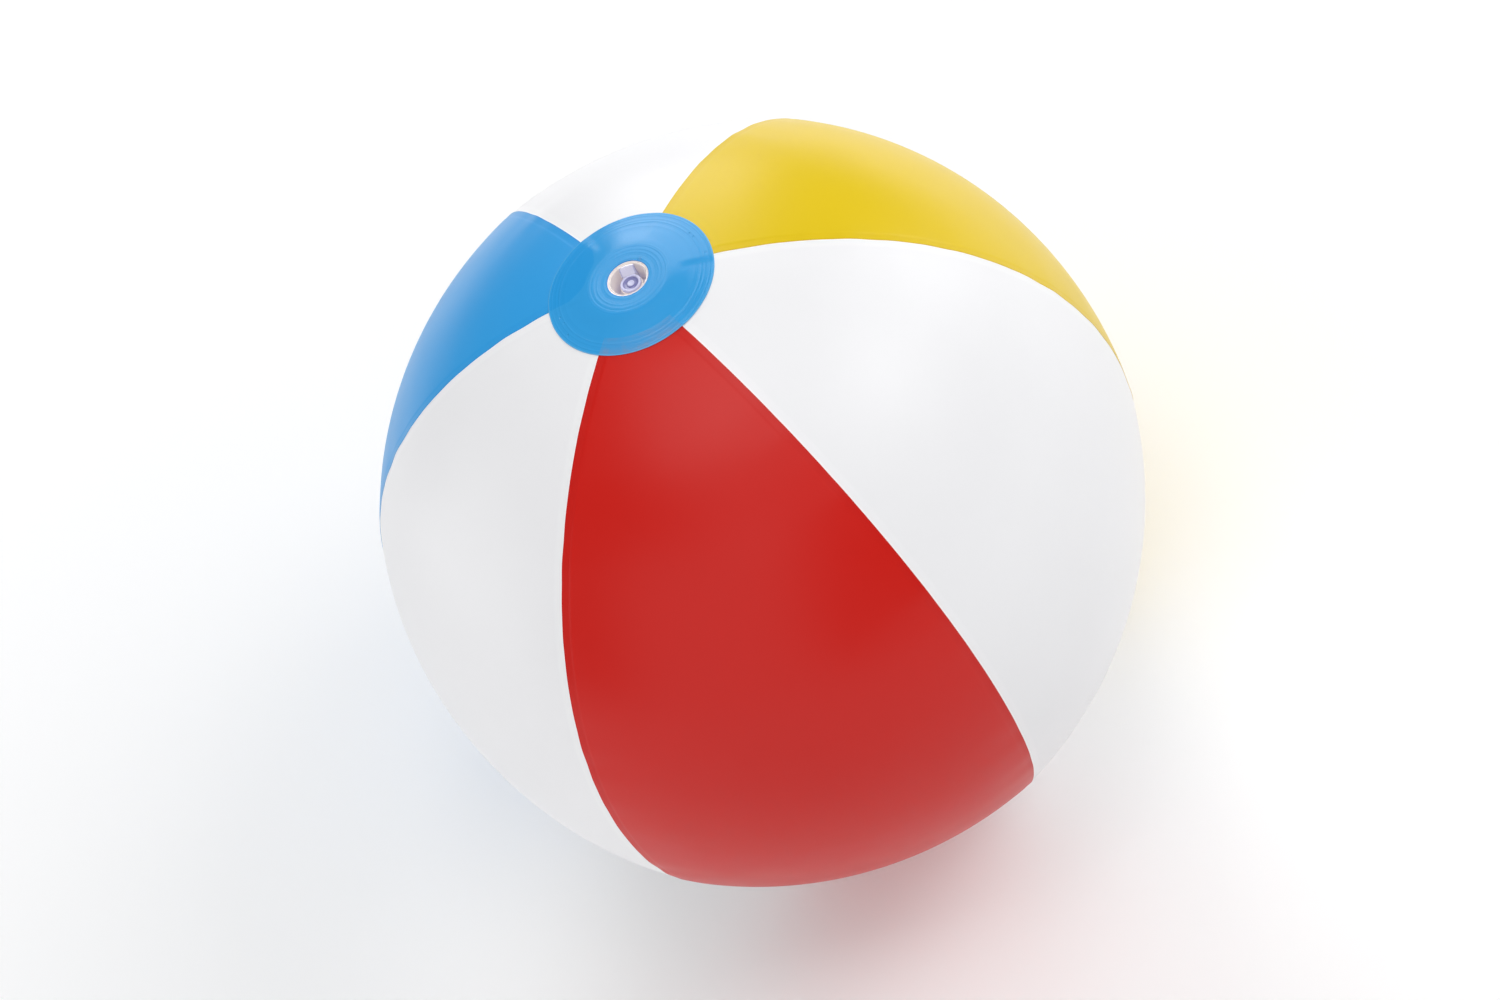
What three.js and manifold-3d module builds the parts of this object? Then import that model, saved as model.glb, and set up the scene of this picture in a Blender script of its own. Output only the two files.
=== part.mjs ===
// Inflatable beach ball with six gores, two end discs and a push-in inflation valve.
//
// The ball stands on the flattened middle of its base disc, with its polar axis upright and the valve on top.
// Origin: the centre of that resting patch. +Z runs up the polar axis, and the red gore faces -Y.
// All sizes are in millimetres.
//
// The skin is soft PVC film. The three coloured gores lap over the edges of the three white ones, and the
// discs lap over all six tips. The valve is drawn pushed in, with its stopper closed.
import * as THREE from 'three';
import { mergeVertices } from 'three/addons/utils/BufferGeometryUtils.js';
import Module from 'manifold-3d';

// ---- Driving dimensions: the inflated skin ----
const SEAM_RADIUS = 170; // from the polar axis to a seam at the equator
const POLAR_RADIUS = 167.5; // from the ball's centre to its pole, before the base is flattened
const FULLNESS = 2.08; // exponent of the meridian's superellipse: 2 is an ellipse, more is boxier
const CROWN_INSET = 2; // how far the middle of a gore lies inside its seams at the equator
const FILM = 0.25; // thickness of the gores
const DISC_FILM = 0.3; // thickness of the end discs
const SEAM_LAP = 4; // width of a welded lap between two gores
const DISC_RADIUS = 35.5; // rim of each end disc
const DISC_LAP = 7.5; // width over which a disc lies on the gores' tips
const REST_MARGIN = 4; // from the gores' tips in to the flat patch that the ball stands on
const GAP = 0.3; // left between two films that are welded in the real ball, and between valve pieces

// ---- Driving dimensions: the valve ----
const BORE_RADIUS = 3.1;
const STEM_WALL = 1.7;
const STEM_TAIL = 6.6; // length of the stem inside the ball, below its shoulder
const SHOULDER_DEPTH = 10.4; // from the disc's top face down to the stem's shoulder
const SHOULDER_THICKNESS = 1;
const STRAP_WIDTH = 6.4;
const STRAP_THICKNESS = 0.7;
const STRAP_CLEARANCE = 1.2; // from the stem to the strap
const FOLD_DEPTH = 1.1; // from the disc's top face down to the fold between strap and stopper
const COLLAR_WALL = 0.6; // the soft sleeve that turns inside out as the valve is pulled out
const HOLE_CLEARANCE = 0.45; // between the collar and the disc's opening
const FLANGE_WIDTH = 7.5; // from the collar out to the flange's rim
const FLANGE_THICKNESS = 0.6;
const STOPPER_DEPTH = 3.1; // from the disc's top face down to the stopper's cap
const CAP_INSET = 0.4; // how much smaller the cap's radius is than the stem's
const CAP_THICKNESS = 1.2;
const CAP_RIM = 0.8; // width of the raised rim round the cap
const CAP_RECESS = 0.35; // depth of the cap's face inside that rim
const SPIGOT_LENGTH = 2;
const SPIGOT_TAPER = 0.75; // how much the spigot's radius shrinks towards its tip
const SPIGOT_CLEARANCE = 0.25; // between the spigot's root and the bore
const DIMPLE_RADIUS = 1.5; // blind hollow down the middle of the stopper
const DIMPLE_FLOOR = 1.2; // material left under the hollow
const FLAP_LAP = 1.1; // width over which the check flap covers the stem's end
const FLAP_THICKNESS = 0.4;
const FLAP_NECK_WIDTH = 3.6;

// ---- Facets ----
const GORE_ROWS = 32; // steps from tip to tip
const GORE_COLUMNS = 8; // steps across a gore, between its laps
const DISC_SEGMENTS = 60;
const VALVE_SEGMENTS = 32;

// ---- Layout ----
const GORE_COUNT = 6;
const SECTOR = (2 * Math.PI) / GORE_COUNT;
const GORES = [
  { name: 'gore_red', colour: 0xbe2b26, azimuth: -90, lapsOver: true },
  { name: 'gore_white_right', colour: 0xececee, azimuth: -30, lapsOver: false },
  { name: 'gore_yellow', colour: 0xe8cb2a, azimuth: 30, lapsOver: true },
  { name: 'gore_white_back', colour: 0xececee, azimuth: 90, lapsOver: false },
  { name: 'gore_blue', colour: 0x42a2e0, azimuth: 150, lapsOver: true },
  { name: 'gore_white_left', colour: 0xececee, azimuth: 210, lapsOver: false },
];

// The valve is laid out from its bore outwards, and in heights from the valve disc's top face.
const STEM_RADIUS = BORE_RADIUS + STEM_WALL;
const CAP_RADIUS = STEM_RADIUS - CAP_INSET;
const FLAP_RADIUS = BORE_RADIUS + FLAP_LAP;
const HINGE_Y = STEM_RADIUS + STRAP_CLEARANCE + STRAP_THICKNESS / 2; // where the strap folds
const STRAP_REACH = Math.hypot(HINGE_Y + STRAP_THICKNESS / 2, STRAP_WIDTH / 2);
const COLLAR_RADIUS = STRAP_REACH + GAP + COLLAR_WALL;
const HOLE_RADIUS = COLLAR_RADIUS + HOLE_CLEARANCE; // opening in the valve disc
const FLANGE_RADIUS = COLLAR_RADIUS + FLANGE_WIDTH;
const FLANGE_TOP = -DISC_FILM - GAP;
const HINGE_Z = -FOLD_DEPTH;
const ARM_ROOT_Y = CAP_RADIUS - CAP_RIM; // the stopper's arm slopes up from here, inside the cap's rim
const ARM_ROOT_Z = -STOPPER_DEPTH - CAP_THICKNESS / 2;
const ARM_SLOPE = Math.atan2(HINGE_Z - ARM_ROOT_Z, HINGE_Y - ARM_ROOT_Y);
const STEM_TOP = -STOPPER_DEPTH - CAP_THICKNESS - GAP;
const STEM_BOTTOM = -SHOULDER_DEPTH - SHOULDER_THICKNESS - STEM_TAIL;

// The skin is laid out in heights above the ball's centre.
const TIP_RADIUS = DISC_RADIUS - DISC_LAP; // radius at which the gores' tips are cut off
const REST_RADIUS = TIP_RADIUS - REST_MARGIN;
const COLOURED_FILM_BASE = GAP; // underside of a coloured gore, above the white film
const DISC_BASE = COLOURED_FILM_BASE + FILM + GAP; // underside of a disc, above the white film
const DISC_TOP = DISC_BASE + DISC_FILM;
const FLAT_TOP_RADIUS = FLANGE_RADIUS + GAP; // the stiff flange keeps the valve disc flat this far out
const DISC_FACE_Z = skinHeight(FLAT_TOP_RADIUS) + DISC_TOP; // the valve disc's top face
const REST_Z = -skinHeight(REST_RADIUS) - DISC_TOP; // the resting patch

const wasm = await Module();
wasm.setup();

// ---- Surfaces ----

/** Height of the skin above the equator at a distance from the polar axis. */
function skinHeight(radius) {
  return POLAR_RADIUS * (1 - (radius / SEAM_RADIUS) ** FULLNESS) ** (1 / FULLNESS);
}

/** The meridian along a seam: angle 0 is the north pole and PI the south pole. */
function seamPoint(angle) {
  const power = 2 / FULLNESS;
  const cosine = Math.cos(angle);
  return {
    radius: SEAM_RADIUS * Math.sin(angle) ** power,
    height: POLAR_RADIUS * Math.sign(cosine) * Math.abs(cosine) ** power,
  };
}

/** Distance from the polar axis to the skin, level with a seam point and at an angle from a gore's middle. */
function skinRadius(seamRadius, angle) {
  const halfSector = SECTOR / 2;
  const fromMiddle = angle - Math.round(angle / SECTOR) * SECTOR;
  const crownRadius = seamRadius * (1 - CROWN_INSET / SEAM_RADIUS);
  const halfChord = seamRadius * Math.sin(halfSector);
  const sagitta = crownRadius - seamRadius * Math.cos(halfSector);
  const arcRadius = (halfChord ** 2 + sagitta ** 2) / (2 * sagitta);
  const arcCentre = crownRadius - arcRadius;
  const across = arcCentre * Math.sin(fromMiddle);
  return arcCentre * Math.cos(fromMiddle) + Math.sqrt(arcRadius ** 2 - across ** 2);
}

/** A point of the skin, pushed out from the ball's centre by an offset. */
function skinPoint(meridianAngle, angle, offset) {
  const seam = seamPoint(meridianAngle);
  const radius = skinRadius(seam.radius, angle);
  const point = new THREE.Vector3(radius * Math.cos(angle), radius * Math.sin(angle), seam.height);
  return point.addScaledVector(point.clone().normalize(), offset);
}

// ---- Geometry helpers ----

/** A closed curved plate. pointAt(row, column, side) gives outer points on side 0 and inner ones on side 1. */
function plateGeometry(rows, columns, pointAt) {
  const positions = [];
  for (const side of [0, 1]) {
    for (let row = 0; row <= rows; row += 1) {
      for (let column = 0; column <= columns; column += 1) {
        positions.push(...pointAt(row, column, side).toArray());
      }
    }
  }
  const at = (side, row, column) => (side * (rows + 1) + row) * (columns + 1) + column;
  const triangles = [];
  const addQuad = (a, b, c, d) => triangles.push(a, b, c, a, c, d);
  for (let row = 0; row < rows; row += 1) {
    for (let column = 0; column < columns; column += 1) {
      const [down, across] = [row + 1, column + 1];
      addQuad(at(0, row, column), at(0, down, column), at(0, down, across), at(0, row, across));
      addQuad(at(1, row, column), at(1, row, across), at(1, down, across), at(1, down, column));
    }
    addQuad(at(0, row, 0), at(1, row, 0), at(1, row + 1, 0), at(0, row + 1, 0));
    addQuad(at(0, row + 1, columns), at(1, row + 1, columns), at(1, row, columns), at(0, row, columns));
  }
  for (let column = 0; column < columns; column += 1) {
    addQuad(at(0, 0, column + 1), at(1, 0, column + 1), at(1, 0, column), at(0, 0, column));
    addQuad(at(0, rows, column), at(1, rows, column), at(1, rows, column + 1), at(0, rows, column + 1));
  }
  const geometry = new THREE.BufferGeometry();
  geometry.setAttribute('position', new THREE.Float32BufferAttribute(positions, 3));
  geometry.setIndex(triangles);
  geometry.computeVertexNormals();
  return geometry;
}

/** A solid of revolution round +Z from [radius, height] pairs, listed anticlockwise. */
function turned(profile, segments) {
  const points = profile.map(([radius, height]) => new THREE.Vector2(radius, height));
  return new THREE.LatheGeometry(points, segments).rotateX(Math.PI / 2);
}

/** A ring of revolution: the same, with its profile closed on itself. */
function turnedRing(profile, segments) {
  return turned([...profile, profile[0]], segments);
}

/** [radius, height] pairs along the skin from one radius to another, above or below the equator. */
function skinProfile(fromRadius, toRadius, offset, side, steps) {
  return Array.from({ length: steps + 1 }, (_, step) => {
    const radius = fromRadius + ((toRadius - fromRadius) * step) / steps;
    return [radius, side * (skinHeight(radius) + offset)];
  });
}

/** A bar that is centred on X = 0, from its outline in Y and Z. */
function sweptAlongX(outline, width) {
  const swept = new THREE.ExtrudeGeometry(outline, { depth: width, bevelEnabled: false, curveSegments: 6 });
  return swept.rotateX(Math.PI / 2).rotateZ(Math.PI / 2).translate(-width / 2, 0, 0);
}

/** A closed geometry as a manifold-3d solid. */
function toSolid(geometry) {
  const bare = geometry.clone();
  bare.deleteAttribute('normal');
  bare.deleteAttribute('uv');
  const merged = mergeVertices(bare, 1e-4);
  return new wasm.Manifold(
    new wasm.Mesh({
      numProp: 3,
      vertProperties: merged.attributes.position.array,
      triVerts: new Uint32Array(merged.index.array),
    }),
  );
}

/** A manifold-3d solid as a three.js geometry. */
function toGeometry(solid) {
  const mesh = solid.getMesh();
  const geometry = new THREE.BufferGeometry();
  geometry.setAttribute('position', new THREE.Float32BufferAttribute(mesh.vertProperties, 3));
  geometry.setIndex(new THREE.BufferAttribute(mesh.triVerts, 1));
  geometry.computeVertexNormals();
  return geometry;
}

/** A named mesh with its own glossy film or plastic. */
function piece(name, geometry, colour, roughness, opacity = 1) {
  const material = new THREE.MeshStandardMaterial({ color: colour, roughness, metalness: 0 });
  material.transparent = opacity < 1;
  material.opacity = opacity;
  const mesh = new THREE.Mesh(geometry, material);
  mesh.name = name;
  return mesh;
}

// ---- The skin ----

/** One gore, as a thin shell from tip to tip. A white gore is wider by a lap on each side. */
function makeGore({ name, colour, azimuth, lapsOver }) {
  const tipAngle = Math.asin((TIP_RADIUS / SEAM_RADIUS) ** (FULLNESS / 2));
  const columns = GORE_COLUMNS + 2;
  const outer = lapsOver ? COLOURED_FILM_BASE + FILM : 0;
  const pointAt = (row, column, side) => {
    const meridianAngle = tipAngle + ((Math.PI - 2 * tipAngle) * row) / GORE_ROWS;
    const lapAngle = SEAM_LAP / seamPoint(meridianAngle).radius;
    const inner = lapsOver ? SECTOR / 2 - lapAngle : SECTOR / 2;
    const edge = inner + lapAngle;
    const share = (column - 1) / GORE_COLUMNS;
    const between = inner * (2 * share - 1);
    const angle = column === 0 ? -edge : column === columns ? edge : between;
    return skinPoint(meridianAngle, angle, outer - side * FILM);
  };
  const gore = piece(name, plateGeometry(GORE_ROWS, columns, pointAt), colour, 0.3);
  gore.rotation.z = THREE.MathUtils.degToRad(azimuth);
  return gore;
}

/** The upper disc: flat round its opening for the valve, then lying on the gores' tips. */
function makeValveDisc() {
  const top = skinProfile(FLAT_TOP_RADIUS, DISC_RADIUS, DISC_TOP, 1, 6);
  const under = skinProfile(FLAT_TOP_RADIUS, DISC_RADIUS, DISC_BASE, 1, 6);
  const profile = [
    [HOLE_RADIUS, DISC_FACE_Z - DISC_FILM],
    ...under,
    ...top.reverse(),
    [HOLE_RADIUS, DISC_FACE_Z],
  ];
  return piece('valve_disc', turnedRing(profile, DISC_SEGMENTS), 0x3f9fe0, 0.25);
}

/** The lower disc: flat where the ball stands on it, then lying on the gores' tips. */
function makeBaseDisc() {
  const under = skinProfile(REST_RADIUS, DISC_RADIUS, DISC_TOP, -1, 6);
  const top = skinProfile(REST_RADIUS, DISC_RADIUS, DISC_BASE, -1, 6);
  const profile = [[0, REST_Z], ...under, ...top.reverse(), [0, REST_Z + DISC_FILM]];
  return piece('base_disc', turned(profile, DISC_SEGMENTS), 0x3f9fe0, 0.25);
}

// ---- The valve, in heights from the valve disc's top face ----

/** The flat ring welded under the valve disc. */
function makeFlange() {
  const innerRadius = COLLAR_RADIUS + GAP;
  const profile = [
    [innerRadius, FLANGE_TOP - FLANGE_THICKNESS],
    [FLANGE_RADIUS, FLANGE_TOP - FLANGE_THICKNESS],
    [FLANGE_RADIUS, FLANGE_TOP],
    [innerRadius, FLANGE_TOP],
  ];
  return piece('valve_flange', turnedRing(profile, VALVE_SEGMENTS), 0xdfe3ea, 0.2, 0.5);
}

/** The soft sleeve between the flange and the stem's shoulder. */
function makeCollar() {
  const bottom = -SHOULDER_DEPTH + GAP;
  const profile = [
    [COLLAR_RADIUS - COLLAR_WALL, bottom],
    [COLLAR_RADIUS, bottom],
    [COLLAR_RADIUS, FLANGE_TOP],
    [COLLAR_RADIUS - COLLAR_WALL, FLANGE_TOP],
  ];
  return piece('valve_collar', turnedRing(profile, VALVE_SEGMENTS), 0xdfe3ea, 0.2, 0.5);
}

/** The tube that air goes through, with the shoulder that the collar joins. */
function makeStem() {
  const shoulderTop = -SHOULDER_DEPTH;
  const shoulderBottom = shoulderTop - SHOULDER_THICKNESS;
  const profile = [
    [BORE_RADIUS, STEM_BOTTOM],
    [STEM_RADIUS, STEM_BOTTOM],
    [STEM_RADIUS, shoulderBottom],
    [COLLAR_RADIUS, shoulderBottom],
    [COLLAR_RADIUS, shoulderTop],
    [STEM_RADIUS, shoulderTop],
    [STEM_RADIUS, STEM_TOP],
    [BORE_RADIUS, STEM_TOP],
  ];
  return piece('valve_stem', turnedRing(profile, VALVE_SEGMENTS), 0xdfe3ea, 0.2, 0.5);
}

/** The stopper: a rimmed cap on a tapered, hollow spigot, with an arm to its strap. */
function makeStopper() {
  const capTop = -STOPPER_DEPTH;
  const capBottom = capTop - CAP_THICKNESS;
  const rootRadius = BORE_RADIUS - SPIGOT_CLEARANCE;
  const tip = capBottom - SPIGOT_LENGTH;
  const profile = [
    [0, tip],
    [rootRadius - SPIGOT_TAPER, tip],
    [rootRadius, capBottom - GAP],
    [rootRadius, capBottom],
    [CAP_RADIUS, capBottom],
    [CAP_RADIUS, capTop],
    [CAP_RADIUS - CAP_RIM, capTop],
    [CAP_RADIUS - CAP_RIM, capTop - CAP_RECESS],
    [DIMPLE_RADIUS, capTop - CAP_RECESS],
    [DIMPLE_RADIUS, tip + DIMPLE_FLOOR],
    [0, tip + DIMPLE_FLOOR],
  ];
  const cap = toSolid(turned(profile, VALVE_SEGMENTS));
  const arm = toSolid(makeArm());
  return piece('stopper', toGeometry(cap.add(arm)), 0xcfd0e6, 0.2, 0.7);
}

/** The stopper's arm, which slopes up from the cap's rim to a rounded end over the strap. */
function makeArm() {
  const halfThickness = STRAP_THICKNESS / 2;
  const [across, up] = [Math.sin(ARM_SLOPE) * halfThickness, Math.cos(ARM_SLOPE) * halfThickness];
  const outline = new THREE.Shape();
  outline.moveTo(ARM_ROOT_Y + across, ARM_ROOT_Z - up);
  outline.lineTo(HINGE_Y + across, HINGE_Z - up);
  outline.absarc(HINGE_Y, HINGE_Z, halfThickness, ARM_SLOPE - Math.PI / 2, ARM_SLOPE + Math.PI / 2, false);
  outline.lineTo(ARM_ROOT_Y - across, ARM_ROOT_Z + up);
  outline.closePath();
  return sweptAlongX(outline, STRAP_WIDTH);
}

/** The strap that keeps the stopper on the valve, from the shoulder up to just under the stopper's arm. */
function makeStrap() {
  const foot = -SHOULDER_DEPTH + GAP;
  const halfThickness = STRAP_THICKNESS / 2;
  const armAbove = HINGE_Z - halfThickness * (Math.tan(ARM_SLOPE) + 1 / Math.cos(ARM_SLOPE));
  const top = armAbove - GAP / Math.cos(ARM_SLOPE);
  const strap = new THREE.BoxGeometry(STRAP_WIDTH, STRAP_THICKNESS, top - foot);
  strap.translate(0, HINGE_Y, (top + foot) / 2);
  return piece('stopper_strap', strap, 0xdfe3ea, 0.2, 0.6);
}

/** The leaflet under the stem that air pressure in the ball holds shut, with the neck that it hinges on. */
function makeCheckFlap() {
  const halfNeck = FLAP_NECK_WIDTH / 2;
  const neckAngle = Math.acos(halfNeck / FLAP_RADIUS);
  const outline = new THREE.Shape();
  outline.moveTo(halfNeck, STEM_RADIUS);
  outline.lineTo(-halfNeck, STEM_RADIUS);
  outline.absarc(0, 0, FLAP_RADIUS, Math.PI - neckAngle, 2 * Math.PI + neckAngle, false);
  outline.closePath();
  const settings = { depth: FLAP_THICKNESS, bevelEnabled: false, curveSegments: 24 };
  const flap = piece('check_flap', new THREE.ExtrudeGeometry(outline, settings), 0xdfe3ea, 0.2, 0.6);
  flap.position.z = STEM_BOTTOM - GAP - FLAP_THICKNESS;
  return flap;
}

// ---- Assembly ----

const valve = new THREE.Group();
valve.position.z = DISC_FACE_Z;
valve.add(makeFlange(), makeCollar(), makeStem(), makeStopper(), makeStrap(), makeCheckFlap());

const inflated = new THREE.Group();
inflated.position.z = -REST_Z;
inflated.add(...GORES.map(makeGore), makeValveDisc(), makeBaseDisc(), valve);

const beachBall = new THREE.Group();
beachBall.add(inflated);

export default beachBall;
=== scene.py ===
"""Inflatable beach ball: the looks of its film gores, end discs and push-in valve, with a studio round it.

Everything is in metres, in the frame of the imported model: the ball stands on z = 0, its polar axis is +Z and
the red gore faces -Y.
"""

from __future__ import annotations

import logging
import math
from collections.abc import Sequence
from dataclasses import dataclass, field
from enum import Enum
from typing import ClassVar

import bpy
import numpy as np
from mathutils import Matrix, Vector
from numpy.typing import NDArray


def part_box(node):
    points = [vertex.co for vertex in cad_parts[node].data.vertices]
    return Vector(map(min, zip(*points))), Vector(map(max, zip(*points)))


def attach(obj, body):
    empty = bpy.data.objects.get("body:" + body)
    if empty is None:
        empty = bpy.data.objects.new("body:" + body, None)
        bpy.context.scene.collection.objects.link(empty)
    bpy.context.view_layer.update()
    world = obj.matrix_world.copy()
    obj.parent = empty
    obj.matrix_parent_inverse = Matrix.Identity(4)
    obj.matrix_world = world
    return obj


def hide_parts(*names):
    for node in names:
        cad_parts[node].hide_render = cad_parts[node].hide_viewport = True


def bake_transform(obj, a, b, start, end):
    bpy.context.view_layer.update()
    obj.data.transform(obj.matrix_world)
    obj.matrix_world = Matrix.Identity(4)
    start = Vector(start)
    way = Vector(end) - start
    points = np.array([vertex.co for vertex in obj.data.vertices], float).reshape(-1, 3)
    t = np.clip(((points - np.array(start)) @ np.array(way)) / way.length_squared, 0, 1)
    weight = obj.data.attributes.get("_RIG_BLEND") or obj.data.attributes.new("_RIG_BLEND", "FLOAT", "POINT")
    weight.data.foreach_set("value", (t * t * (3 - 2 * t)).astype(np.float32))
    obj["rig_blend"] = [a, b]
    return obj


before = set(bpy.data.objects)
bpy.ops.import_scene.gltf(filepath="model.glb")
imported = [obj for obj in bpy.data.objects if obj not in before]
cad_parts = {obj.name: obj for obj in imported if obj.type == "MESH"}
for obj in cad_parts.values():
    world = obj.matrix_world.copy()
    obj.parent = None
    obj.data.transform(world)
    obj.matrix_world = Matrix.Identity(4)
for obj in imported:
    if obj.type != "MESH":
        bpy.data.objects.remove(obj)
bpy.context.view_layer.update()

Array = NDArray[np.float64]
Colour = tuple[float, float, float]
Rgba = tuple[float, float, float, float]
Piece = bpy.types.Object
Socket = bpy.types.NodeSocket
LOG = logging.getLogger("beach_ball")
MM = 0.001
LONGEST_ROUNDING = 0.45  # of a side, for the rounding of one corner


# ---------------------------------------------------------------------------------------------------------
# Meshes
# ---------------------------------------------------------------------------------------------------------


def new_mesh_object(name: str, points: Array, quads: NDArray[np.int64]) -> Piece:
    """Make a smooth mesh object at the origin.

    Args:
        name: The object's name.
        points: Vertices, one row of x, y, z each.
        quads: Corner indices, four to a row, anticlockwise from outside. A repeated corner makes a triangle.

    Returns:
        The new object, linked to the scene.
    """
    mesh = bpy.data.meshes.new(name)
    faces = [tuple(dict.fromkeys(face)) for face in quads.tolist()]
    mesh.from_pydata(points.tolist(), [], [face for face in faces if len(face) > 2])
    mesh.polygons.foreach_set("use_smooth", np.ones(len(mesh.polygons), bool))
    mesh.update()
    made = bpy.data.objects.new(name, mesh)
    bpy.context.scene.collection.objects.link(made)
    return made


def grid_quads(rows: int, columns: int, wrap: bool = False) -> NDArray[np.int64]:
    """Corner indices of a grid of rows by columns vertices, numbered along each row.

    Args:
        rows: Vertices down the grid.
        columns: Vertices across it.
        wrap: Whether the last column joins the first.

    Returns:
        One row of four indices for each cell.
    """
    row, column = np.meshgrid(np.arange(rows - 1), np.arange(columns if wrap else columns - 1), indexing="ij")
    after = (column + 1) % columns
    corners = [row * columns + column, (row + 1) * columns + column, (row + 1) * columns + after]
    return np.stack([*corners, row * columns + after], -1).reshape(-1, 4)


def plate(name: str, outer: Array, inner: Array) -> Piece:
    """A closed curved plate between two grids of points, with walls along its four edges.

    Args:
        name: The object's name.
        outer: Points of the outer face, in a grid of rows by columns by 3.
        inner: Points of the inner face, in the same grid.

    Returns:
        The plate's object.
    """
    rows, columns = outer.shape[:2]
    count = rows * columns
    index = np.arange(count).reshape(rows, columns)
    front = grid_quads(rows, columns)
    back = front[:, ::-1] + count
    ring = np.concatenate([index[0, :-1], index[:-1, -1], index[-1, :0:-1], index[:0:-1, 0]])
    after = np.roll(ring, -1)
    walls = np.stack([ring, after, after + count, ring + count], -1)
    points = np.concatenate([outer.reshape(-1, 3), inner.reshape(-1, 3)])
    return new_mesh_object(name, points, np.concatenate([front, back, walls]))


def ring_surface(name: str, points: Array, closed: bool) -> Piece:
    """A surface of rings round the Z axis, one ring for each row of a grid of points.

    Args:
        name: The object's name.
        points: A grid of profile points by steps round the axis by 3. The outside is on the profile's
            right.
        closed: Whether the last ring joins the first. If not, the first and last rings are closed poles.

    Returns:
        The ringed object.
    """
    rows, segments = points.shape[:2]
    if closed:
        quads = grid_quads(rows + 1, segments, wrap=True) % (rows * segments)
        return new_mesh_object(name, points.reshape(-1, 3), quads)
    quads = grid_quads(rows, segments, wrap=True)
    last = (rows - 1) * segments
    quads[quads < segments] = 0
    quads[quads >= last] = last
    used, compact = np.unique(quads, return_inverse=True)
    flat = points.copy()
    flat[[0, -1]] = flat[[0, -1]].mean(1, keepdims=True)
    return new_mesh_object(name, flat.reshape(-1, 3)[used], compact.reshape(-1, 4))


def revolved(profile: Array, segments: int) -> Array:
    """Points of a surface of revolution round the Z axis.

    Each point of the profile is a radius and a height. The point at turn a is (radius cos a, radius sin a,
    height).

    Args:
        profile: Radius and height pairs.
        segments: Steps round the axis.

    Returns:
        A grid of profile points by steps by 3.
    """
    angle = np.arange(segments) * (2 * math.pi / segments)
    radius, height = profile[:, 0, None], profile[:, 1, None]
    return np.stack([radius * np.cos(angle), radius * np.sin(angle), height + 0 * angle], -1)


def rounded(
    corners: Sequence[tuple[float, float]], radii: Sequence[float], closed: bool, steps: int = 5
) -> Array:
    """Round a profile's corners by circular-looking arcs.

    Each corner is replaced by the quadratic curve (1-t)^2 a + 2t(1-t) corner + t^2 b. The points a and b lie
    on its two sides, at the rounding radius or at LONGEST_ROUNDING of the side, whichever is less.

    Args:
        corners: Radius and height pairs.
        radii: The rounding of each corner, or 0 to keep it sharp.
        closed: Whether the last corner joins the first.
        steps: Points on each arc, less one.

    Returns:
        The rounded profile.
    """
    points = np.array(corners, float)
    before, after = np.roll(points, 1, 0) - points, np.roll(points, -1, 0) - points
    t = np.linspace(0, 1, steps + 1)[:, None]
    out: list[Array] = []
    for index, (corner, radius) in enumerate(zip(points, radii, strict=True)):
        at_end = not closed and index in (0, len(points) - 1)
        if radius == 0 or at_end:
            out.append(corner[None])
            continue
        back, forth = before[index], after[index]
        a = corner + back * min(LONGEST_ROUNDING, radius / np.linalg.norm(back))
        b = corner + forth * min(LONGEST_ROUNDING, radius / np.linalg.norm(forth))
        out.append((1 - t) ** 2 * a + 2 * t * (1 - t) * corner + t**2 * b)
    return np.concatenate(out)


def set_float(piece: Piece, name: str, values: Array) -> None:
    """Store a number on each vertex of a piece.

    Args:
        piece: The piece.
        name: The attribute's name.
        values: One number for each vertex, in the order of the vertices.
    """
    attribute = piece.data.attributes.new(name, "FLOAT", "POINT")
    attribute.data.foreach_set("value", values.reshape(-1).astype(np.float32))


def bump(distance: Array, width: float) -> Array:
    """A smooth bump of height 1: exp(-(distance / width)^2)."""
    return np.exp(-((distance / width) ** 2))


def smoothstep(low: float, high: float, value: Array) -> Array:
    """0 below low, 1 above high, and the cubic 3t^2 - 2t^3 between."""
    t = np.clip((value - low) / (high - low), 0, 1)
    return t * t * (3 - 2 * t)


# ---------------------------------------------------------------------------------------------------------
# Finishes
# ---------------------------------------------------------------------------------------------------------


class Relief(Enum):
    """How strongly a film's surface is textured."""

    SOFT = 0.35
    WELDED = 0.6


@dataclass(frozen=True)
class Finish:
    """A plain vinyl surface.

    Attributes:
        slot: The record's material slot.
        colour: Linear red, green and blue.
        edge_tone_and_highlight: The same, at a gore's welds or at the cut edge of a disc's hole. On a white
        film it is paler, a painted highlight along the seam.
        roughness: Of the surface.
        specular: Specular level, 0.5 being that of clear plastic.
        relief: Strength of the fine surface relief.
    """

    slot: str
    colour: Colour
    edge_tone_and_highlight: Colour
    roughness: float = 0.345
    specular: float = 0.25
    relief: Relief = Relief.SOFT


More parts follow.
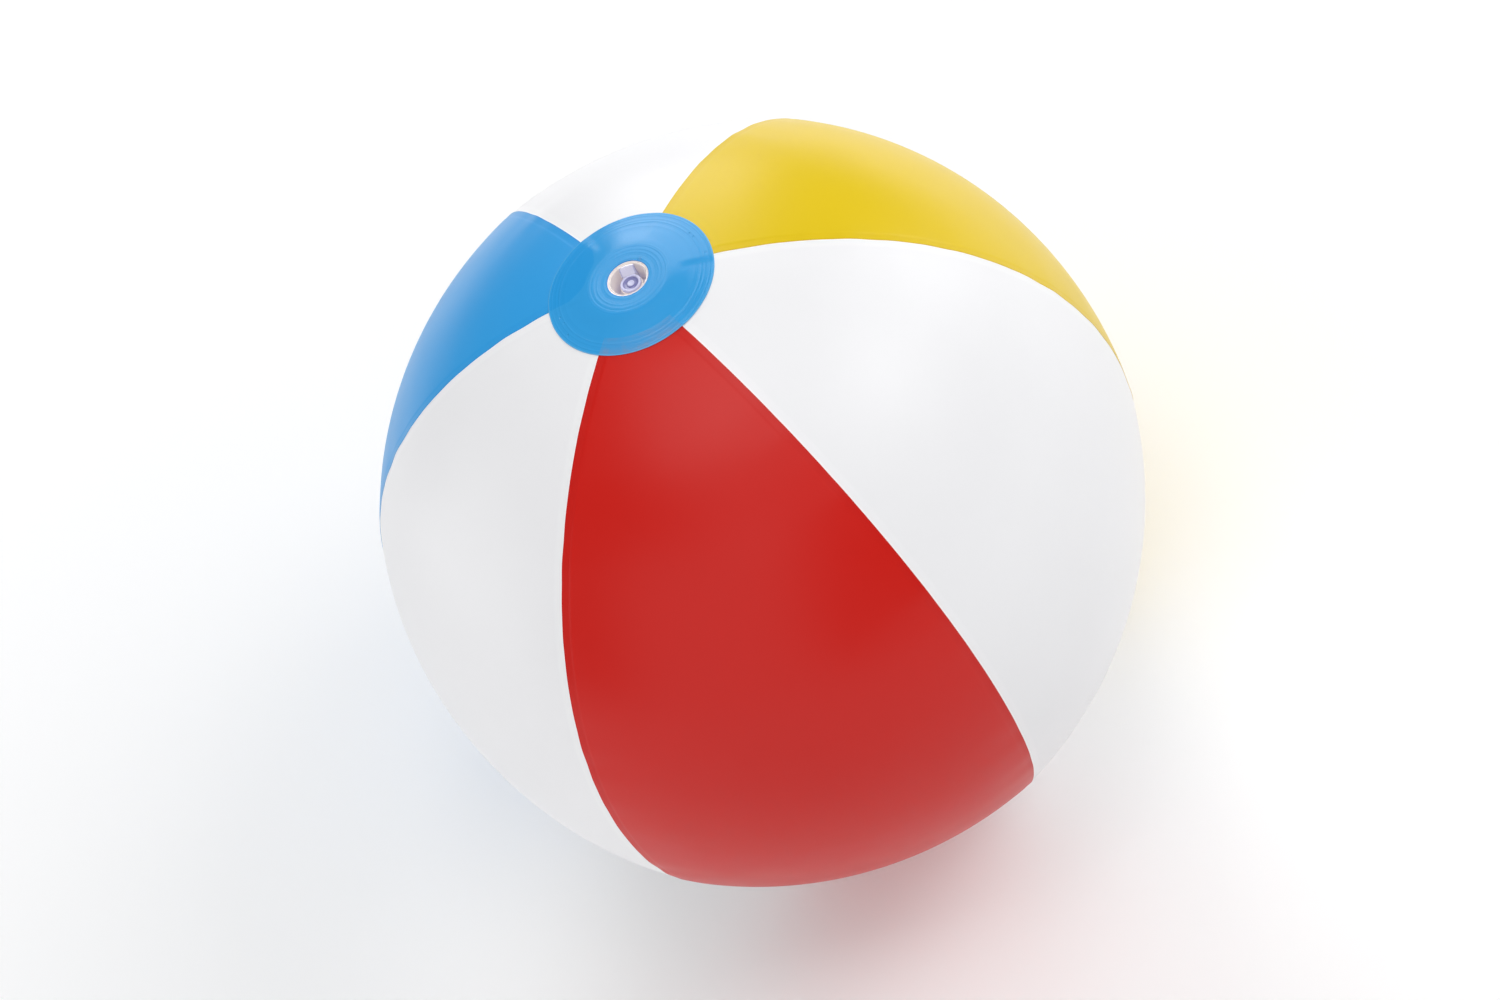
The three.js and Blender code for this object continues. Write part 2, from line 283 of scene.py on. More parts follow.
class Nodes:
    """Builds a node tree with short calls.

    Attributes:
        MIX_INPUTS: Places of a Mix node's factor and its two colours among its inputs.
        MIX_RESULT: Place of its colour among its outputs.
    """

    MIX_INPUTS = (0, 6, 7)
    MIX_RESULT = 2

    def __init__(self, tree: bpy.types.NodeTree) -> None:
        """Keep the tree that nodes are added to."""
        self.tree = tree

    def add(
        self, kind: str, inputs: dict[str | int, object] | None = None, **settings: object
    ) -> bpy.types.Node:
        """Add a node.

        Args:
            kind: The node's type.
            inputs: Values or sockets for its inputs, by name or index.
            settings: Properties of the node.

        Returns:
            The new node.
        """
        node = self.tree.nodes.new(kind)
        for key, value in settings.items():
            setattr(node, key, value)
        for key, value in (inputs or {}).items():
            self.feed(node.inputs[key], value)
        return node

    def feed(self, socket: Socket, value: object) -> None:
        """Link a socket to an input, or set the input's own value.

        Args:
            socket: The input.
            value: Another node's output, or a plain value.
        """
        if isinstance(value, Socket):
            self.tree.links.new(value, socket)
        else:
            socket.default_value = value

    def maths(self, operation: str, *values: object, clamp: bool = False) -> Socket:
        """The result of a Math node."""
        node = self.add("ShaderNodeMath", dict(enumerate(values)), operation=operation, use_clamp=clamp)
        return node.outputs[0]

    def blend(self, factor: object, a: object, b: object) -> Socket:
        """The colour mixed from a to b by a factor.

        Args:
            factor: 0 for a, 1 for b.
            a: The first colour.
            b: The second colour.

        Returns:
            The mixed colour's socket.
        """
        node = self.add("ShaderNodeMix", data_type="RGBA")
        for index, value in zip(self.MIX_INPUTS, (factor, a, b), strict=True):
            self.feed(node.inputs[index], value)
        return node.outputs[self.MIX_RESULT]

    def noise(self, place: Socket, scale: float, detail: float = 2) -> Socket:
        """A Noise texture's value."""
        node = self.add("ShaderNodeTexNoise", {"Vector": place, "Scale": scale, "Detail": detail})
        return node.outputs[0]

    def ramp(self, value: Socket, low: float, high: float, to: float = 1) -> Socket:
        """A value mapped smoothly from low..high to 0..to.

        Args:
            value: The socket to map.
            low: Where the result is still 0.
            high: From where it is at its full height.
            to: That height.

        Returns:
            The mapped value's socket.
        """
        node = self.add(
            "ShaderNodeMapRange",
            {"Value": value, "From Min": low, "From Max": high, "To Min": 0.0, "To Max": to},
            interpolation_type="SMOOTHSTEP",
        )
        return node.outputs[0]


def rgba(colour: Sequence[float]) -> Rgba:
    """A colour with full alpha."""
    return (colour[0], colour[1], colour[2], 1.0)


class VinylGroup:
    """The relief and mottling that every vinyl film shares, as one node group.

    Attributes:
        NAME: The group's name.
        CLOUDS: Scale and detail of the pigment's clouds.
        WAVES: The same, of the slow waves left by the rollers.
        PEBBLE: The same, of the fine pebble.
        SMEARS: The same, of duller and glossier patches.
        CLOUD_SHADE: How much a cloud lightens the colour, and the shade between clouds.
        SMEAR_DULLNESS: How much a smear adds to the roughness, and what is taken off it everywhere.
        PEBBLE_HEIGHT: Height of the pebble, the waves' being 1.
    """

    NAME = "vinyl_film"
    CLOUDS = (11.0, 3)
    WAVES = (17.0, 1)
    PEBBLE = (420.0, 2)
    SMEARS = (34.0, 4)
    CLOUD_SHADE = (0.06, 0.965)
    SMEAR_DULLNESS = (0.10, -0.05)
    PEBBLE_HEIGHT = 0.006

    @classmethod
    def get(cls) -> bpy.types.NodeTree:
        """The group, built on first use."""
        return bpy.data.node_groups.get(cls.NAME) or cls._build()

    @classmethod
    def _build(cls) -> bpy.types.NodeTree:
        """Build the group: a fine pebble, slow waves left by the rollers, and cloudy pigment.

        Returns:
            The new group. It takes in a colour and a roughness, and puts out both and a height.
        """
        group = bpy.data.node_groups.new(cls.NAME, "ShaderNodeTree")
        face = group.interface
        colour_in = face.new_socket("Colour", in_out="INPUT", socket_type="NodeSocketColor")
        colour_in.default_value = (0.8, 0.8, 0.8, 1)
        rough_in = face.new_socket("Roughness", in_out="INPUT", socket_type="NodeSocketFloat")
        rough_in.default_value = 0.3
        face.new_socket("Colour", in_out="OUTPUT", socket_type="NodeSocketColor")
        face.new_socket("Roughness", in_out="OUTPUT", socket_type="NodeSocketFloat")
        face.new_socket("Height", in_out="OUTPUT", socket_type="NodeSocketFloat")
        nodes = Nodes(group)
        given = nodes.add("NodeGroupInput")
        place = nodes.add("ShaderNodeTexCoord").outputs["Object"]
        cloud = nodes.noise(place, *cls.CLOUDS)
        waves = nodes.noise(place, *cls.WAVES)
        pebble = nodes.noise(place, *cls.PEBBLE)
        smear = nodes.noise(place, *cls.SMEARS)
        darker = nodes.maths("MULTIPLY_ADD", cloud, *cls.CLOUD_SHADE)
        colour = {"Vector": given.outputs["Colour"], "Scale": darker}
        shade = nodes.add("ShaderNodeVectorMath", colour, operation="SCALE")
        duller = nodes.maths("MULTIPLY_ADD", smear, *cls.SMEAR_DULLNESS)
        rough = nodes.maths("ADD", given.outputs["Roughness"], duller, clamp=True)
        height = nodes.maths("MULTIPLY_ADD", pebble, cls.PEBBLE_HEIGHT, waves)
        result = nodes.add("NodeGroupOutput")
        for index, value in enumerate((shade.outputs[0], rough, height)):
            nodes.feed(result.inputs[index], value)
        return group


class VinylMaterial:
    """A vinyl film: its own pattern first, then the shared relief, then one Principled shader.

    Attributes:
        RELIEF_DEPTH: What a height of 1 in the relief stands for, in metres.
    """

    RELIEF_DEPTH = 1.6 * MM

    def __init__(self, finish: Finish) -> None:
        """Start a material.

        Args:
            finish: What it is to look like.
        """
        self.finish = finish
        self.material = bpy.data.materials.new(finish.slot)
        self.material.use_nodes = True
        self.nodes = Nodes(self.material.node_tree)
        self.shader = self.material.node_tree.nodes["Principled BSDF"]

    def pattern(self) -> Socket | Rgba:
        """The base colour before mottling."""
        return rgba(self.finish.colour)

    def relief(self, shared: Socket) -> Socket:
        """The bump height, from the shared one."""
        return shared

    def build(self) -> bpy.types.Material:
        """Join the nodes.

        Returns:
            The finished material.
        """
        group = self.nodes.add("ShaderNodeGroup", node_tree=VinylGroup.get())
        self.nodes.feed(group.inputs["Colour"], self.pattern())
        group.inputs["Roughness"].default_value = self.finish.roughness
        height = self.relief(group.outputs["Height"])
        settings = {"Height": height, "Strength": self.finish.relief.value, "Distance": self.RELIEF_DEPTH}
        relief = self.nodes.add("ShaderNodeBump", settings)
        self.nodes.feed(self.shader.inputs["Base Color"], group.outputs["Colour"])
        self.nodes.feed(self.shader.inputs["Roughness"], group.outputs["Roughness"])
        self.nodes.feed(self.shader.inputs["Normal"], relief.outputs["Normal"])
        self.shader.inputs["Specular IOR Level"].default_value = self.finish.specular
        return self.material


class GoreMaterial(VinylMaterial):
    """A gore's film, with a pressed band along each weld, from the vertex value weld_mm.

    The value is the distance in from the upper film's edge, and 0 where a film lies under its neighbour. A
    coloured film is deeper in its welds and at its edge, and a white one is paler there, which is a painted
    highlight along the seam.

    Attributes:
        BAND: From where to where the pressed band fades out, in millimetres.
        BAND_SHARE: How much of the edge's colour the band has.
        CUT: From where to where the colour of the edge itself fades out.
    """

    BAND = (3.0, 4.2)
    BAND_SHARE = 0.22
    CUT = (0.25, 0.75)

    def pattern(self) -> Socket:
        """The film's colour, deeper or paler along the weld.

        Returns:
            The colour's socket.
        """
        nodes = self.nodes
        distance = nodes.add("ShaderNodeAttribute", attribute_name="weld_mm").outputs["Fac"]
        plain, edge = self.finish.colour, self.finish.edge_tone_and_highlight
        band = nodes.maths("SUBTRACT", 1.0, nodes.ramp(distance, *self.BAND))
        pressed = nodes.blend(nodes.maths("MULTIPLY", band, self.BAND_SHARE), rgba(plain), rgba(edge))
        # On a white film the edge colour is a painted highlight along the seam; on a coloured film it is a
        # deeper seam line.
        cut = nodes.maths("SUBTRACT", 1.0, nodes.ramp(distance, *self.CUT))
        return nodes.blend(cut, pressed, rgba(edge))


class DiscMaterial(VinylMaterial):
    """A disc's translucent film, which shows what lies under it.

    Attributes:
        RINGS: Radii of the weld rings, in millimetres.
        PIN_MARKS: Where the welding jig's pins left dents: radius in millimetres and turn in degrees.
        PIN_SIZE: From where to where a dent rises to the film, in millimetres from its middle.
        PIN_DEPTH: Depth of a dent in the relief.
        NUB: Place and radius of the moulded nub on the valve's flange, in millimetres.
        NUB_HEIGHT: Its height in the relief.
        OVER_BLUE: The film's deeper blue in a wedge over the blue gore's side.
        OVER_RED: What the red gore's tip turns it towards.
        RED_SHARE: How far it does so.
        STREAKS: Scale and detail of the streaks over the red tip.
        NUB_AND_STRAP_SHADOW: What the nub and the painted shadow of the strap's root turn it towards.
        NUB_AND_STRAP_SHADOW_SHARE: How far they do so.
        RIM: What the film's colour turns towards at the rim.
        RIM_BAND: From where to where it does so, in millimetres, and how far.
        HOLE_BAND: From where to where the hole's edge colour fades out, in millimetres.
        UPPER: A height between the two discs, in metres.
        RED_AT: Azimuth of the red gore's middle, in degrees.
        BLUE_AT: The same, of the blue one's.
        RED_SIDE: From where to where the red tip ends at its sides, in degrees from its middle.
        BLUE_SIDE: The same, of that deeper wedge.
    """

    RINGS = (28.6, 30.4, 31.9, 33.9)
    PIN_MARKS = ((31.2, 22.0), (30.9, 27.0), (32.6, 3.0), (31.0, -163.0), (31.4, -170.0), (32.8, -152.0))
    PIN_SIZE = (0.2, 0.55)
    PIN_DEPTH = 0.35
    NUB = (6.2, 7.3, 1.15)
    NUB_HEIGHT = 0.25
    OVER_BLUE = (0.022, 0.315, 0.715)
    OVER_RED = (0.20, 0.28, 0.46)
    RED_SHARE = 0.55
    STREAKS = (260.0, 3)
    NUB_AND_STRAP_SHADOW = (0.03, 0.21, 0.50)
    NUB_AND_STRAP_SHADOW_SHARE = 0.4
    RIM = (0.13, 0.46, 0.80)
    RIM_BAND = (34.9, 35.2, 0.7)
    HOLE_BAND = (8.9, 9.5)
    UPPER = 0.1
    RED_AT = -90.0
    BLUE_AT = 150.0
    RED_SIDE = (29.4, 30.2)
    BLUE_SIDE = (29.2, 30.4)

    def pattern(self) -> Socket:
        """Blue, deeper in a wedge over the blue gore, greyed over the red gore's tip, paler at the rim.

        The hole's edge, the nub and the painted shadow of the strap's root are on the upper disc only.

        Returns:
            The colour's socket.
        """
        nodes = self.nodes
        place = nodes.add("ShaderNodeTexCoord").outputs["Object"]
        split = nodes.add("ShaderNodeSeparateXYZ", {"Vector": place})
        self.x = nodes.maths("MULTIPLY", split.outputs["X"], 1 / MM)
        self.y = nodes.maths("MULTIPLY", split.outputs["Y"], 1 / MM)
        self.upper = nodes.maths("GREATER_THAN", split.outputs["Z"], self.UPPER)
        radius = self.distance_to(0.0, 0.0)
        turn = nodes.maths("MULTIPLY", nodes.maths("ARCTAN2", self.y, self.x), 180 / math.pi)
        colour = nodes.blend(self.over_blue(radius, turn), rgba(self.finish.colour), rgba(self.OVER_BLUE))
        streaks = nodes.ramp(nodes.noise(place, *self.STREAKS), 0.42, 0.62, 0.5)
        grey = nodes.maths("MULTIPLY", self.over_red(radius, turn), nodes.maths("ADD", streaks, 0.55))
        colour = nodes.blend(nodes.maths("MULTIPLY", grey, self.RED_SHARE), colour, rgba(self.OVER_RED))
        # The nub is its own darker moulding; the strap's root is a painted shadow under the film.
        moulding = nodes.maths("MAXIMUM", self.nub(), self.strap_root_shadow(radius))
        moulding = nodes.maths("MULTIPLY", moulding, self.NUB_AND_STRAP_SHADOW_SHARE)
        colour = nodes.blend(moulding, colour, rgba(self.NUB_AND_STRAP_SHADOW))
        colour = nodes.blend(nodes.ramp(radius, *self.RIM_BAND), colour, rgba(self.RIM))
        hole = nodes.maths("SUBTRACT", self.upper, nodes.ramp(radius, *self.HOLE_BAND), clamp=True)
        return nodes.blend(hole, colour, rgba(self.finish.edge_tone_and_highlight))

    def distance_to(self, x: float, y: float) -> Socket:
        """Distance in millimetres from an upright line.

        Args:
            x: Where the line is, in millimetres.
            y: The same, along Y.

        Returns:
            The distance's socket.
        """
        nodes = self.nodes
        across, along = nodes.maths("SUBTRACT", self.x, x), nodes.maths("SUBTRACT", self.y, y)
        squares = nodes.maths("MULTIPLY_ADD", along, along, nodes.maths("MULTIPLY", across, across))
        return nodes.maths("SQRT", squares)

    def over_red(self, radius: Socket, turn: Socket) -> Socket:
        """Where the red gore's tip shows: from its cut end on, and more beyond the weld.

        Args:
            radius: Distance from the polar axis, in millimetres.
            turn: Azimuth, in degrees.

        Returns:
            A socket that is 0 elsewhere and 1 at the rim.
        """
        nodes = self.nodes
        off_middle = nodes.maths("ABSOLUTE", nodes.maths("SUBTRACT", turn, self.RED_AT))
        within = nodes.maths("SUBTRACT", 1.0, nodes.ramp(off_middle, *self.RED_SIDE))
        depth = nodes.maths("ADD", nodes.ramp(radius, 27.7, 28.2, 0.45), nodes.ramp(radius, 31.6, 34.2, 0.55))
        return nodes.maths("MULTIPLY", within, depth)

    def over_blue(self, radius: Socket, turn: Socket) -> Socket:
        """Where the film is a deeper blue, in a wedge over the blue gore: its inner end is at a radius of
        18.5 + 7 (0.034 angle)^4.

        Args:
            radius: Distance from the polar axis, in millimetres.
            turn: Azimuth, in degrees.

        Returns:
            A socket that is 1 over the wedge and 0 elsewhere.
        """
        nodes = self.nodes
        off_middle = nodes.maths("ABSOLUTE", nodes.maths("SUBTRACT", turn, self.BLUE_AT))
        corner = nodes.maths("POWER", nodes.maths("MULTIPLY", off_middle, 0.034), 4.0)
        end = nodes.maths("MULTIPLY_ADD", corner, 7.0, 18.5)
        inside = nodes.ramp(nodes.maths("SUBTRACT", radius, end), -0.5, 0.5)
        within = nodes.maths("SUBTRACT", 1.0, nodes.ramp(off_middle, *self.BLUE_SIDE))
        return nodes.maths("MULTIPLY", inside, within)

    def nub(self) -> Socket:
        """1 over the nub on the flange.

        Returns:
            The mask's socket.
        """
        x, y, size = self.NUB
        beyond = self.nodes.ramp(self.distance_to(x, y), size - 0.25, size + 0.1)
        return self.nodes.maths("SUBTRACT", self.upper, beyond, clamp=True)

    def strap_root_shadow(self, radius: Socket) -> Socket:
        """1 where the strap's root shows as a painted shadow under the film, at the +Y side of the hole.

        Args:
            radius: Distance from the polar axis, in millimetres.

        Returns:
            The mask's socket.
        """
        nodes = self.nodes
        near = nodes.maths("SUBTRACT", self.upper, nodes.ramp(radius, 9.3, 10.0), clamp=True)
        beside = nodes.maths("SUBTRACT", 1.0, nodes.ramp(nodes.maths("ABSOLUTE", self.x), 2.9, 3.7))
        return nodes.maths("MULTIPLY", nodes.maths("MULTIPLY", near, beside), nodes.ramp(self.y, 0.0, 1.0))

    def relief(self, shared: Socket) -> Socket:
        """The shared relief, with the pin marks dented and the nub raised.

        Args:
            shared: The shared height.

        Returns:
            The height's socket.
        """
        nodes = self.nodes
        height = shared
        for at, degrees in self.PIN_MARKS:
            turn = math.radians(degrees)
            away = self.distance_to(at * math.cos(turn), at * math.sin(turn))
            height = nodes.maths("ADD", height, nodes.ramp(away, *self.PIN_SIZE, self.PIN_DEPTH))
        return nodes.maths("MULTIPLY_ADD", self.nub(), self.NUB_HEIGHT, height)


@dataclass(frozen=True)
class ClearFinish:
    """Milky clear vinyl, as moulded for a valve.

    Attributes:
        CLOUDS: Scale and detail of the clouds in it.
        CLOUD_SHADE: How much a cloud takes off the deep colour.
        CLOUD_DULLNESS: How much a cloud adds to the roughness.
        RELIEF_STRENGTH: Strength of the clouds' relief.
        RELIEF_DEPTH: What a height of 1 in it stands for, in metres.
        INDEX: Index of refraction.
        slot: The record's material slot.
        name: The material's own name.
        colour: Linear red, green and blue.
        deep_and_shaded_colour: The same, from the vertex value depth: a deeper tone on the flap and strap
            edges,
        and painted shade low in the hole, in the sleeve's folds, in the stopper's groove and under its cap.
        clearness: The share of light that goes through.
        roughness: Of the surface.
        glow: Emission that paints in the light from inside the ball coming through, 1 being as bright as a
        white surface.
    """

    CLOUDS: ClassVar[tuple[float, float]] = (420.0, 3)
    CLOUD_SHADE: ClassVar[float] = 0.12
    CLOUD_DULLNESS: ClassVar[float] = 0.08
    RELIEF_STRENGTH: ClassVar[float] = 0.2
    RELIEF_DEPTH: ClassVar[float] = 0.2 * MM
    INDEX: ClassVar[float] = 1.52
    slot: str
    name: str
    colour: Colour
    deep_and_shaded_colour: Colour
    clearness: float
    roughness: float = 0.16
    glow: float = 0.14

    def build(self) -> bpy.types.Material:
        """Make the material: cloudy colour on a partly transmitting Principled shader, with a painted glow.

        Returns:
            The finished material.
        """
        material = bpy.data.materials.new(self.name)
        material.use_nodes = True
        nodes = Nodes(material.node_tree)
        shader = material.node_tree.nodes["Principled BSDF"]
        place = nodes.add("ShaderNodeTexCoord").outputs["Object"]
        cloud = nodes.ramp(nodes.noise(place, *self.CLOUDS), 0.3, 0.7)
        # Deep colour where depth is high: painted shade in the valve's recesses and folds, and a deeper tone
        # on the flap and strap edges.
        deep = nodes.add("ShaderNodeAttribute", attribute_name="depth").outputs["Fac"]
        clearer = nodes.maths("MULTIPLY", cloud, self.CLOUD_SHADE)
        shade = nodes.maths("SUBTRACT", deep, clearer, clamp=True)
        colour = nodes.blend(shade, rgba(self.colour), rgba(self.deep_and_shaded_colour))
        nodes.feed(shader.inputs["Base Color"], colour)
        rough = nodes.maths("MULTIPLY_ADD", cloud, self.CLOUD_DULLNESS, self.roughness)
        nodes.feed(shader.inputs["Roughness"], rough)
        settings = {"Height": cloud, "Strength": self.RELIEF_STRENGTH, "Distance": self.RELIEF_DEPTH}
        relief = nodes.add("ShaderNodeBump", settings)
        nodes.feed(shader.inputs["Normal"], relief.outputs["Normal"])
        shader.inputs["Transmission Weight"].default_value = self.clearness
        shader.inputs["IOR"].default_value = self.INDEX
        # Emission paints in the light from inside the ball shining through the moulding.
        nodes.feed(shader.inputs["Emission Color"], colour)
        shader.inputs["Emission Strength"].default_value = self.glow
        return material


def dress(piece: Piece, material: bpy.types.Material, slot: str, body: str, *nodes: str) -> None:
    """Give a piece its material, its body and the CAD nodes that it stands for, and report it.

    Args:
        piece: The finished piece.
        material: Its material.
        slot: Its material slot in the record. Not used.
        body: The body that it rides on, unless it is blended.
        nodes: The CAD nodes that it stands for.
    """
    piece.data.materials.clear()
    piece.data.materials.append(material)
    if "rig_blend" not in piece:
        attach(piece, body)
    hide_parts(*nodes)
    faces = len(piece.data.polygons)
    LOG.info("%s: %d faces, on %s, for %s", piece.name, faces, body, ", ".join(nodes))


# ---------------------------------------------------------------------------------------------------------
# The skin
# ---------------------------------------------------------------------------------------------------------


@dataclass(frozen=True)
class Skin:
    """The inflated shape that the gores and discs share.

    Attributes:
        seam_radius: From the polar axis to a seam at the equator.
        polar_radius: From the centre to a pole.
        fullness: Exponent of the meridian's superellipse.
        crown_inset: How far the middle of a gore lies inside its seams.
        sector: Angle of one gore.
        pucker: Height of the gathers beside a seam.
        pucker_reach: How far the gathers run from a seam.
        waves: Length of each wave in the gathers, and its phase's step from seam to seam.
        swell: The same, of the slow wave that raises and lowers them.
    """

    seam_radius: float = 170 * MM
    polar_radius: float = 167.5 * MM
    fullness: float = 2.08
    crown_inset: float = 2 * MM
    sector: float = math.pi / 3
    pucker: float = 0.11 * MM
    pucker_reach: float = 11 * MM
    waves: tuple[tuple[float, float], ...] = ((17 * MM, 2.1), (27 * MM, 4.4))
    swell: tuple[float, float] = (90 * MM, 1.3)

    @property
    def centre_height(self) -> float:
        """Height of the ball's centre, half way between the tips of a gore."""
        low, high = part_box("gore_red")
        return (low.z + high.z) / 2

    def height(self, radius: Array | float) -> Array | float:
        """Height over the centre at a radius: polar (1 - (radius / seam)^fullness)^(1 / fullness)."""
        return self.polar_radius * (1 - (radius / self.seam_radius) ** self.fullness) ** (1 / self.fullness)

    def tip_angle(self, radius: float) -> float:
        """The meridian's angle at a distance from the polar axis."""
        return math.asin((radius / self.seam_radius) ** (self.fullness / 2))

    def gather(self, along: Array, from_seam: Array, seam: Array) -> Array:
        """Height of the gathers beside a seam.

        It is a sum of two sines of the length along the meridian, with phases that differ from seam to seam,
        times a slow sine between 0.2 and 1, times exp(-distance / reach).

        Args:
            along: Length along the meridian from the pole.
            from_seam: Distance from the nearest seam.
            seam: Number of that seam.

        Returns:
            The height in metres.
        """
        turns = along * 2 * math.pi
        wave = sum(np.sin(turns / length + phase * seam) for length, phase in self.waves)
        length, phase = self.swell
        slow = 0.6 + 0.4 * np.sin(turns / length + phase * seam)
        return self.pucker * wave * slow * np.exp(-from_seam / self.pucker_reach)

    def points(self, meridian: Array, angle: Array, azimuth: float, offset: Array) -> Array:
        """Points of the skin.

        On the meridian of a seam the radius is seam sin(a)^(2/n) and the height is polar cos(a)^(2/n), where
        n is the fullness. Across a gore the skin is an arc of a circle through both seams and the crown, and
        the point is then pushed out from the ball's centre by the offset and the gathers.

        Args:
            meridian: Angle a from the north pole.
            angle: Angle round the polar axis from the middle of the gore.
            azimuth: Of the middle of the gore, in radians.
            offset: Distance out from the skin.

        Returns:
            An array of points with one more axis than the inputs.
        """
        power = 2 / self.fullness
        radius = self.seam_radius * np.sin(meridian) ** power
        height = self.polar_radius * np.sign(np.cos(meridian)) * np.abs(np.cos(meridian)) ** power
        half = self.sector / 2
        shift = np.round(angle / self.sector)
        within = angle - shift * self.sector
        crown = radius * (1 - self.crown_inset / self.seam_radius)
        chord = radius * math.sin(half)
        sagitta = crown - radius * math.cos(half)
        arc = (chord**2 + sagitta**2) / (2 * sagitta)
        centre = crown - arc
        reach = centre * np.cos(within) + np.sqrt(arc**2 - (centre * np.sin(within)) ** 2)
        turn = azimuth + angle
        point = np.stack([reach * np.cos(turn), reach * np.sin(turn), height], -1)
        out = point / np.linalg.norm(point, axis=-1, keepdims=True)
        seam = np.round(turn / self.sector) % 6
        from_seam = np.abs(turn - np.round(turn / self.sector) * self.sector) * radius
        lift = offset + self.gather(meridian * self.seam_radius, from_seam, seam)
        return point + out * lift[..., None] + np.array([0, 0, self.centre_height])


@dataclass(frozen=True)
class Gore:
    """One gore of film.

    Attributes:
        node: Its CAD node.
        azimuth: Of its middle, in degrees.
        finish: Its film.
        laps_over: Whether it lies over its neighbours at the seams, or under them.
        tip_radius: Where its tips are cut.
        film: Its thickness.
        pressed: How much thinner a film that laps over is in its welds.
        lift: Of a film that laps over, from the film under it.
        lap: Width of the lap.
        rows: Vertices from tip to tip.
        columns: Vertices across, without those near the edges.
        inset: How far from each edge the even columns start.
        near: Distances of the closer columns from an edge, in millimetres.
    """

    node: str
    azimuth: float
    finish: Finish
    laps_over: bool
    tip_radius: float = 28 * MM
    film: float = 0.22 * MM
    pressed: float = 0.1 * MM
    lift: float = 0.02 * MM
    lap: float = 4 * MM
    rows: int = 221
    columns: int = 57
    inset: float = 5.2 * MM
    near: tuple[float, ...] = (0, 0.02, 0.05, 0.09, 0.14, 0.3, 0.75, 2.6, 3.2, 3.6, 4.0, 4.4)

    def build(self, skin: Skin) -> Piece:
        """Make the gore's closed shell.

        Across the gore the columns are even, with extra ones close to each edge. Both faces close on the
        film's middle at the edge like a quarter circle, and a film that laps over is thinner in its welds.

        Args:
            skin: The shape it lies on.

        Returns:
            The gore's object.
        """
        start = skin.tip_angle(self.tip_radius)
        meridian = np.linspace(start, math.pi - start, self.rows)[:, None]
        radius = skin.seam_radius * np.sin(meridian) ** (2 / skin.fullness)
        half_width = skin.sector / 2 * radius + (0 if self.laps_over else self.lap)
        near = np.array(self.near) * MM
        inner = np.linspace(-1, 1, self.columns)[None] * (half_width - self.inset)
        across = np.concatenate([near - half_width, inner, half_width - near[::-1]], axis=1)
        from_edge = half_width - np.abs(across)
        fades_from, fades_to = GoreMaterial.BAND
        in_weld = 1 - smoothstep(fades_from * MM, fades_to * MM, from_edge)
        press = self.pressed * in_weld * self.laps_over
        edge = (self.film - press) / 2
        fall = edge - np.sqrt(np.maximum(edge**2 - np.maximum(edge - from_edge, 0) ** 2, 0))
        base = self.lift if self.laps_over else -self.film
        top = base + 2 * edge - fall
        under = base + fall
        turn = across / radius
        azimuth = math.radians(self.azimuth)
        meridians = meridian + 0 * across
        outer_points = skin.points(meridians, turn, azimuth, top)
        inner_points = skin.points(meridians, turn, azimuth, under)
        piece = plate(f"{self.node}_film", outer_points, inner_points)
        on_seam = from_edge if self.laps_over else np.maximum(from_edge - self.lap, 0)
        weld = (on_seam / MM).reshape(-1)
        set_float(piece, "weld_mm", np.concatenate([weld, weld]))
        return piece


@dataclass
class Skins:
    """The six gores.

    Attributes:
        red: Film of the red gore.
        white: Film of the three white gores.
        yellow: Film of the yellow gore.
        blue: Film of the blue gore.
        skin: The shape they lie on.
    """

    red: Finish = Finish("red_film", (0.60, 0.0125, 0.0075), (0.54, 0.009, 0.006))
    # The white film's paler edge colour is a painted highlight along the seams.
    white: Finish = Finish("white_film", (0.87, 0.87, 0.885), (0.95, 0.95, 0.955), 0.34)
    yellow: Finish = Finish("yellow_film", (0.74, 0.53, 0.008), (0.70, 0.48, 0.004))
    blue: Finish = Finish("blue_film", (0.034, 0.34, 0.75), (0.026, 0.30, 0.70))
    skin: Skin = field(default_factory=Skin)

    def build(self) -> None:
        """Make and dress every gore."""
        finishes = (self.red, self.white, self.yellow, self.blue)
        materials = {finish.slot: GoreMaterial(finish).build() for finish in finishes}
        gores = (
            Gore("gore_red", -90, self.red, True),
            Gore("gore_white_right", -30, self.white, False),
            Gore("gore_yellow", 30, self.yellow, True),
            Gore("gore_white_back", 90, self.white, False),
            Gore("gore_blue", 150, self.blue, True),
            Gore("gore_white_left", 210, self.white, False),
        )
        for gore in gores:
            dress(gore.build(self.skin), materials[gore.finish.slot], gore.finish.slot, "ball", gore.node)


